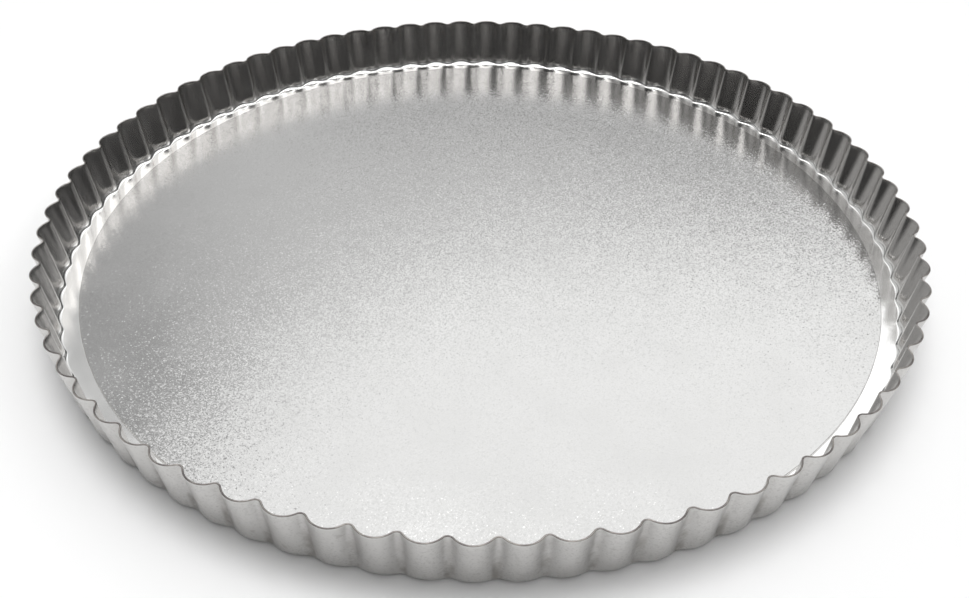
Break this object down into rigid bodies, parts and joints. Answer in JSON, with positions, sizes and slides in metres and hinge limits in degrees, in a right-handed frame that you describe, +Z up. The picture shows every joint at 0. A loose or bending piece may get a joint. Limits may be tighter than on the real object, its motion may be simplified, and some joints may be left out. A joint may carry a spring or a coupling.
{
  "type": "loose-bottom fluted tart pan",
  "caption": "Shallow round tart pan: a fluted flared ring with an inward foot flange, and a flat loose base that lifts out.",
  "frame": {"origin": "centre of the pan on the surface that it stands on", "axes": "+Z up along the pan's axis, out of its open top; +X and +Y through the middle of a flute"},
  "size_m": [0.3, 0.3, 0.02],
  "materials": {
    "ring_tinplate": "bright tinned steel, satin to semi-gloss",
    "base_tinplate": "tinned steel, fine grainy satin"
  },
  "bodies": {
    "ring": {"fluted_ring": "ring_tinplate"},
    "base": {"loose_base": "base_tinplate"}
  },
  "joints": [
    {"name": "base_lift", "type": "slide", "parent": "ring", "child": "base", "axis": [0, 0, 1], "range_m": [0, 0.06]}
  ]
}
